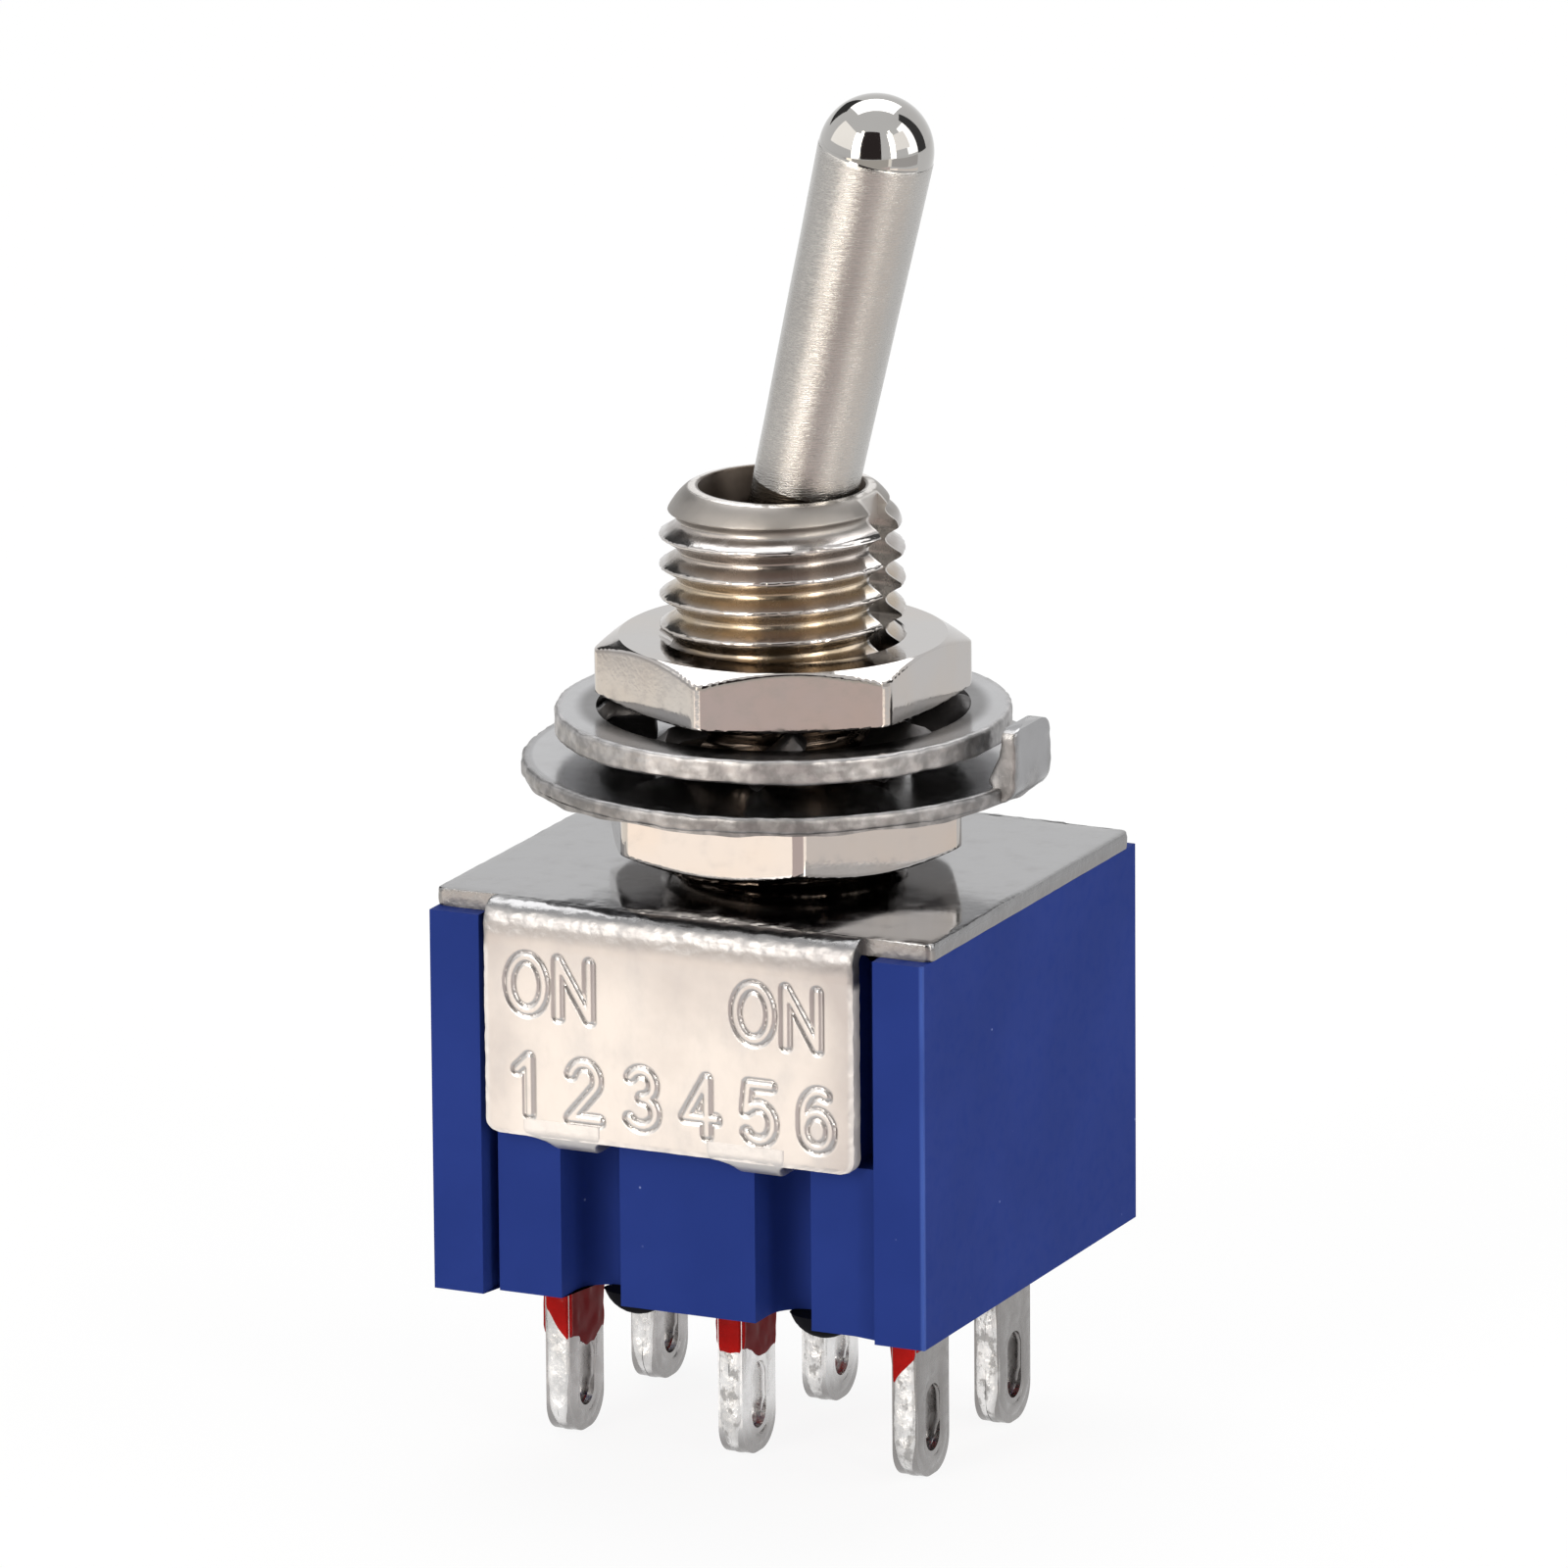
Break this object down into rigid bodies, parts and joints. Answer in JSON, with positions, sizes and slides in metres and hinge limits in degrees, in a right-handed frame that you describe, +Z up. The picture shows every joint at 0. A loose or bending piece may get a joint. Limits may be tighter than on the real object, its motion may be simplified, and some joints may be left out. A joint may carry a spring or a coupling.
{
  "type": "toggle switch",
  "caption": "Miniature toggle switch with a bat lever on a threaded panel bushing, with its nuts and washers, a moulded case in a bent frame and solder lugs below.",
  "frame": {"origin": "on the bushing's axis, in the face that a panel rests on, the top of the locating washer's ring", "axes": "+Z up the bushing, X the way the lever tilts and +X the side that it rests at and that carries the locating tab, -Y out of the front flap"},
  "size_m": [0.0134, 0.0128, 0.0337],
  "materials": {
    "case_blue": "moulded, satin",
    "resin_red": "cast, glossy",
    "bracket_tin": "tin plated, sheared edges left rough",
    "washer_steel": "nickel plated",
    "brass_nickel": "nickel plated, brass showing on worn crests",
    "lever_nickel": "nickel plated, polished",
    "terminal_tin": "tinned, rough",
    "contact_silver": "silver faced",
    "carrier_nylon": "moulded",
    "spring_wire": "drawn wire"
  },
  "bodies": {
    "switch_body": {"housing": "case_blue", "frame_bracket": "bracket_tin", "bushing": "brass_nickel", "upper_nut": "brass_nickel", "lower_nut": "brass_nickel", "lock_washer": "washer_steel", "locating_washer": "washer_steel", "epoxy_seal": "resin_red", "common_terminal_front": "terminal_tin", "throw_terminal_front_left": "terminal_tin", "throw_terminal_front_right": "terminal_tin", "fixed_contact_front_left": "contact_silver", "fixed_contact_front_right": "contact_silver", "common_terminal_rear": "terminal_tin", "throw_terminal_rear_left": "terminal_tin", "throw_terminal_rear_right": "terminal_tin", "fixed_contact_rear_left": "contact_silver", "fixed_contact_rear_right": "contact_silver"},
    "lever": {"lever": "lever_nickel", "plunger_carrier": "carrier_nylon", "plunger_spring_front": "spring_wire", "plunger_spring_rear": "spring_wire"},
    "plunger_front": {"plunger_front": "carrier_nylon"},
    "rocker_front": {"rocker_front": "contact_silver"},
    "plunger_rear": {"plunger_rear": "carrier_nylon"},
    "rocker_rear": {"rocker_rear": "contact_silver"}
  },
  "joints": [
    {"name": "lever_tilt", "type": "hinge", "parent": "switch_body", "child": "lever", "pos_m": [0, 0, 0.004], "axis": [0, 1, 0], "range_deg": [-26, 0]},
    {"name": "plunger_front_slide", "type": "slide", "parent": "lever", "child": "plunger_front", "axis": [0.225, 0, 0.9744], "range_m": [0, 0.00025], "stiffness_N_per_m": 500, "springref_m": -0.001, "deforming": ["plunger_spring_front"]},
    {"name": "rocker_front_tilt", "type": "hinge", "parent": "switch_body", "child": "rocker_front", "pos_m": [0, -0.0024, -0.01], "axis": [0, 1, 0], "range_deg": [0, 16]},
    {"name": "plunger_rear_slide", "type": "slide", "parent": "lever", "child": "plunger_rear", "axis": [0.225, 0, 0.9744], "range_m": [0, 0.00025], "stiffness_N_per_m": 500, "springref_m": -0.001, "deforming": ["plunger_spring_rear"]},
    {"name": "rocker_rear_tilt", "type": "hinge", "parent": "switch_body", "child": "rocker_rear", "pos_m": [0, 0.0024, -0.01], "axis": [0, 1, 0], "range_deg": [0, 16]}
  ],
  "couplings": [
    {"joint": "rocker_front_tilt", "follows": "lever_tilt", "ratio": -0.61538},
    {"joint": "rocker_rear_tilt", "follows": "lever_tilt", "ratio": -0.61538}
  ]
}
